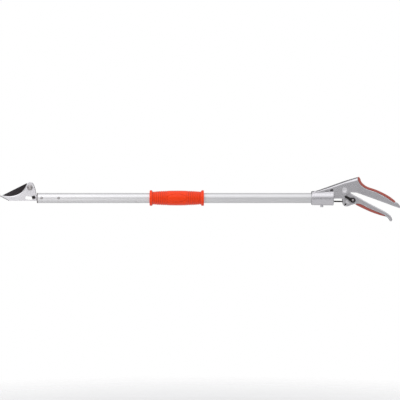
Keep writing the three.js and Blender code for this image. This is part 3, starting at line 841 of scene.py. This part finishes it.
def handle_pivot():
    face = PIN_FACE_Y
    pin = turned_at(HANDLE_PIVOT, [
        (0, face + 0.9), (2.0, face + 0.8), (4.6, face + 0.35), (5.2, face), (6.2, face), (6.2, face + 1.5),
        (3.9, face + 1.5), (3.9, 6), (0, 6)], 0.35)
    show("handle_pivot_pin", pin)
    screw = turned_at(HANDLE_PIVOT, [
        (0, 6.2), (3.9, 6.2), (3.9, 10.9), (6.2, 10.9), (6.2, 12.1), (5.0, 12.4), (0, 12.4)], 0.3)
    screw = socketed(screw, HANDLE_PIVOT, [(0, 10.4), (2.3, 10.8), (2.3, 14), (0, 14)], 0.1)
    show("handle_pivot_screw", screw)


handle_body()
handle_strip = rubber_strip(HANDLE_SEAM, HANDLE_BACK, lambda x: arm_half(x) - 0.5, back_grooves)
show("handle_insert", handle_strip, angle=50)
lever_strip = rubber_strip(LEVER_SEAM, LEVER_UNDER, lambda x: LEVER_STRIP_HALF, diagonal_grooves)
show("lever_insert", lever_strip, angle=50)
lever = with_painted_shade(cast("lever_body"), NOSE_WINDOW)
show("lever_body", lever, extra=[PAINTED_SHADE_FILL], angle=60)
handle_pivot()


def clamp_screw():
    """A cap screw with a hexagon socket, pointing up through the collar."""
    upright = Quaternion((0, 1, 0), -math.pi / 2)
    centre = (CLAMP_X, 0, 0)
    head = turned(filleted([
        (0, -22.9), (3.2, -22.9), (3.75, -22.3), (3.75, -18.3), (2.5, -18.3), (2.5, -12.8),
        (0, -12.8)], 0.35), "X", centre, 64, upright)
    hexagon = turned([(0, -24), (1.9, -24), (1.9, -20.6), (0, -20.2)], "X", centre, 6, upright)
    show("clamp_screw", broken_edges(combined(head, [hexagon]), 0.1, angle=35))


clamp_screw()
show("trunnion", crisp("trunnion", 0.4, 3))
show("lock_catch", crisp("lock_catch", 0.35, 3))

catch_screw = turned_at(CATCH_PIVOT, [
    (0, -16.6), (2.2, -16.5), (3.1, -15.9), (3.1, -15.1), (2.4, -15.1), (2.4, -12.8), (2, -12.8), (2, -5),
    (0, -5)], 0.25, 64)
show("catch_screw", catch_screw)

# The pieces inside the tube keep their CAD shape. All but the spring's wire have broken edges.
for node in ("rod_guide_front", "rod_guide_rear", "spring_seat", "rod_stop", "return_spring"):
    inner = NODES[node]
    inner.data.materials.clear()
    inner.data.materials.append(MATERIALS[SLOT_OF[node]])
    weld = inner.modifiers.new("weld", "WELD")
    weld.merge_threshold = TINY
    if node != "return_spring":
        edge = inner.modifiers.new("edge", "BEVEL")
        edge.width = 0.3 * MM
        edge.segments = 2
        edge.limit_method = "ANGLE"
        edge.angle_limit = math.radians(40)

# ---- Stage, light and camera --------------------------------------------------------------------

FLOOR_Z = -0.6
# Radii where the floor starts to fade and where it ends.
FLOOR_FADE = 0.5
FLOOR_RIM = 1.5


def floor():
    """A pale disc whose rim fades away into the white surround."""
    bm = bmesh.new()
    bmesh.ops.create_circle(bm, cap_ends=True, radius=FLOOR_RIM, segments=128)
    bmesh.ops.translate(bm, verts=bm.verts, vec=(0, 0, FLOOR_Z))
    mesh = to_mesh(bm)
    graph = Graph("pale_floor")
    clouds = graph.ramp(graph.noise(6.0, 2.0), 0.3, 0.7, 0.0, 1.0)
    tone = graph.mix(clouds, (0.86, 0.86, 0.86), (0.89, 0.89, 0.89))
    graph.join(tone, graph.shader.inputs["Base Color"])
    graph.shader.inputs["Roughness"].default_value = 0.8
    flat = graph.add("ShaderNodeMapping")
    flat.inputs["Scale"].default_value = (1, 1, 0)
    graph.join(graph.place, flat.inputs["Vector"])
    reach = graph.add("ShaderNodeVectorMath", operation="LENGTH")
    graph.join(flat.outputs["Vector"], reach.inputs[0])
    fade = graph.ramp(reach.outputs["Value"], FLOOR_FADE, FLOOR_RIM, 1.0, 0.0)
    graph.join(fade, graph.shader.inputs["Alpha"])
    mesh.materials.append(graph.material)
    linked("floor", mesh)


# The studio's tones by the turn about the pole in degrees: 0 on the camera's side and 90 overhead.
STUDIO_TONES = ((-180, 0.10), (-140, 0.28), (-100, 0.54), (-60, 0.68), (-38, 0.80), (-22, 0.70), (-9, 0.40),
                (8, 0.52), (24, 1.12), (42, 1.50), (60, 1.62), (76, 1.35), (92, 0.85), (112, 1.05),
                (130, 0.22), (180, 0.10))
# What they are multiplied by, from the cutting head's end to the handle's end.
SIDE_TONES = ((-1.0, 0.45), (-0.75, 0.7), (-0.45, 1.08), (0.0, 1.0), (0.5, 0.92), (0.75, 0.6), (1.0, 0.4))


def tone_band(tree, source, stops):
    """Tones along a value from -1 to 1."""
    shift = tree.nodes.new("ShaderNodeMapRange")
    shift.inputs["From Min"].default_value = -1.0
    tree.links.new(source, shift.inputs["Value"])
    ramp = tree.nodes.new("ShaderNodeValToRGB")
    while len(ramp.color_ramp.elements) < len(stops):
        ramp.color_ramp.elements.new(0.5)
    for element, (position, tone) in zip(ramp.color_ramp.elements, stops):
        element.position = (position + 1) / 2
        element.color = (tone, tone, tone * 1.01, 1)
    tree.links.new(shift.outputs["Result"], ramp.inputs[0])
    return ramp.outputs["Color"]


def math_node(tree, operation, first, second):
    node = tree.nodes.new("ShaderNodeMath")
    node.operation = operation
    for socket, value in zip(node.inputs, (first, second)):
        if isinstance(value, float):
            socket.default_value = value
        else:
            tree.links.new(value, socket)
    return node.outputs[0]


def studio_colour(tree):
    """The tones around the pole times the tones along it."""
    coordinates = tree.nodes.new("ShaderNodeTexCoord")
    split = tree.nodes.new("ShaderNodeSeparateXYZ")
    tree.links.new(coordinates.outputs["Generated"], split.inputs[0])
    forward = math_node(tree, "MULTIPLY", split.outputs["Y"], -1.0)
    turn = math_node(tree, "DIVIDE", math_node(tree, "ARCTAN2", split.outputs["Z"], forward), math.pi)
    product = tree.nodes.new("ShaderNodeMix")
    product.data_type = "RGBA"
    product.blend_type = "MULTIPLY"
    product.inputs["Factor"].default_value = 1.0
    around, along = [i for i in product.inputs if i.type == "RGBA"]
    tree.links.new(tone_band(tree, turn, [(degrees / 180, tone) for degrees, tone in STUDIO_TONES]), around)
    tree.links.new(tone_band(tree, split.outputs["X"], SIDE_TONES), along)
    return [o for o in product.outputs if o.type == "RGBA"][0]


def world():
    """White to the camera, and a studio of soft tones to everything else."""
    scene = bpy.context.scene
    scene.world = bpy.data.worlds.new("studio")
    scene.world.use_nodes = True
    tree = scene.world.node_tree
    tree.nodes.clear()
    output = tree.nodes.new("ShaderNodeOutputWorld")
    soft = tree.nodes.new("ShaderNodeBackground")
    tree.links.new(studio_colour(tree), soft.inputs["Color"])
    white = tree.nodes.new("ShaderNodeBackground")
    white.inputs["Color"].default_value = (1, 1, 1, 1)
    path = tree.nodes.new("ShaderNodeLightPath")
    choose = tree.nodes.new("ShaderNodeMixShader")
    tree.links.new(path.outputs["Is Camera Ray"], choose.inputs["Fac"])
    tree.links.new(soft.outputs[0], choose.inputs[1])
    tree.links.new(white.outputs[0], choose.inputs[2])
    tree.links.new(choose.outputs[0], output.inputs["Surface"])


def soft_box(name, spot, aim, size, energy, tint):
    light = bpy.data.lights.new(name, "AREA")
    light.shape = "RECTANGLE"
    light.size, light.size_y = size
    light.energy = energy
    light.color = tint
    lamp = linked(name, light)
    lamp.location = spot
    lamp.rotation_euler = (Vector(aim) - Vector(spot)).to_track_quat("-Z", "Y").to_euler()


VIEW_WIDTH = 1.0


def camera():
    """A level side view that is VIEW_WIDTH metres wide at the pole."""
    lens = bpy.data.cameras.new("camera")
    lens.lens = 150
    lens.sensor_width = 36
    lens.clip_end = 50
    eye = linked("camera", lens)
    distance = VIEW_WIDTH * lens.lens / lens.sensor_width
    eye.location = (-0.0005, -distance, -0.0023)
    eye.rotation_euler = (math.pi / 2, 0, 0)
    bpy.context.scene.camera = eye


bpy.context.scene.view_settings.view_transform = "Standard"
floor()
world()
soft_box("left_bank", (-0.62, -0.62, 0.62), (-0.38, 0, 0), (0.9, 0.8), 1.5, (1.0, 0.97, 0.985))
soft_box("left_low", (-0.62, -0.6, -0.35), (-0.38, 0, 0), (0.9, 0.5), 0.9, (1.0, 0.96, 0.98))
camera()
